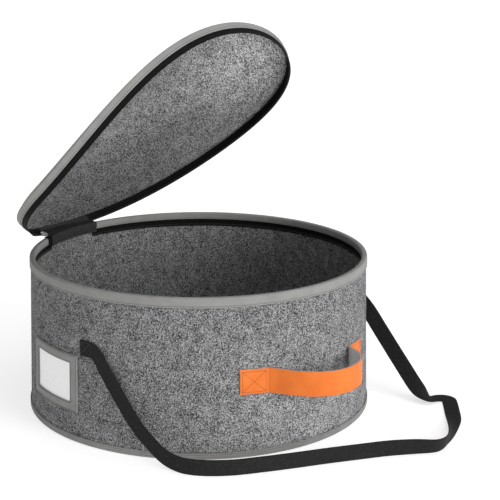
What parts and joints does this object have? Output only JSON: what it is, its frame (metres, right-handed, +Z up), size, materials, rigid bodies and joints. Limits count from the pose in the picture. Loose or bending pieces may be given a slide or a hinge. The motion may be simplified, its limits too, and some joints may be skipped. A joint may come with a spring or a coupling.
{
  "type": "round felt hat box",
  "caption": "Round felt hat box with a zipped lid standing open on a cloth hinge, a carry handle, a label pocket and a long shoulder strap.",
  "frame": {"origin": "middle of the underside, on the flat lower face of the band across it", "axes": "+Z up out of the box, -Y towards the carry handle, +Y towards the cloth hinge, X along the underside band"},
  "size_m": [0.4701, 0.5829, 0.4946],
  "materials": {
    "felt": "grey heather felt, salt and pepper",
    "grey_tape": "light grey woven binding tape",
    "zip_tape": "black woven zip tape",
    "hinge_cloth": "charcoal plain-weave cloth",
    "webbing": "black flat webbing",
    "orange_hide": "smooth orange synthetic leather, grey backing",
    "card": "plain white card under clear film",
    "nickel": "nickel-plated zip slider"
  },
  "bodies": {
    "root": {"body_wall": "felt", "bottom_panel": "felt", "rim_binding": "grey_tape", "bottom_binding": "grey_tape", "body_zip_tape": "zip_tape", "trolley_band": "webbing", "lid_felt": "felt", "lid_edge_binding": "grey_tape", "lid_zip_tape": "zip_tape", "hinge_strip": "hinge_cloth", "carry_handle": "orange_hide", "label_card": "card", "label_frame": "grey_tape", "shoulder_strap": "webbing", "zipper_slider": "nickel"}
  },
  "joints": []
}
